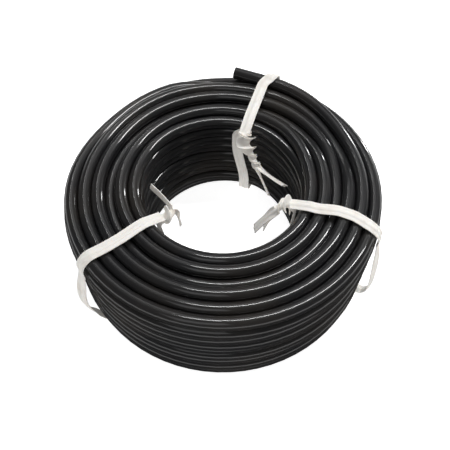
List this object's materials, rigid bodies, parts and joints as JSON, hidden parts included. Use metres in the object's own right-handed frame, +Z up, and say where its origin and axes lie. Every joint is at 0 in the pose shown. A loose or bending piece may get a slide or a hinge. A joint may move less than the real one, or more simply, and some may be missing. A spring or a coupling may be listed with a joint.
{
  "type": "cable coil with twist ties",
  "caption": "Coil of round black flexible cable held by three white twist ties, with its cut end on top.",
  "frame": {"origin": "on the coil's axis, in the plane that the coil stands on", "axes": "+Z up along the coil's axis, +Y towards the back, where the cable's cut end and one tie lie, +X towards the right tie"},
  "size_m": [0.1677, 0.1668, 0.07],
  "materials": {
    "jacket": "satin",
    "core_brown": "satin",
    "core_blue": "satin",
    "core_green_yellow": "satin",
    "copper": "bright",
    "strap": "satin",
    "wire": "satin"
  },
  "bodies": {
    "cable_coil": {"inner_turns": "jacket", "outer_turns": "jacket", "end_jacket": "jacket", "end_core_brown": "core_brown", "end_core_blue": "core_blue", "end_core_green_yellow": "core_green_yellow", "end_conductor_brown": "copper", "end_conductor_blue": "copper", "end_conductor_green_yellow": "copper"},
    "left_tie": {"left_tie_strap": "strap", "left_tie_wire": "wire"},
    "right_tie": {"right_tie_strap": "strap", "right_tie_wire": "wire"},
    "back_tie": {"back_tie_strap": "strap", "back_tie_wire": "wire"}
  },
  "joints": [
    {"name": "left_tie_slide", "type": "hinge", "parent": "cable_coil", "child": "left_tie", "pos_m": [0, 0, 0.033], "axis": [0, 0, 1], "range_deg": [-60, 30]},
    {"name": "right_tie_slide", "type": "hinge", "parent": "cable_coil", "child": "right_tie", "pos_m": [0, 0, 0.033], "axis": [0, 0, 1], "range_deg": [-30, 10]},
    {"name": "back_tie_slide", "type": "hinge", "parent": "cable_coil", "child": "back_tie", "pos_m": [0, 0, 0.033], "axis": [0, 0, 1], "range_deg": [-12, 2]}
  ]
}
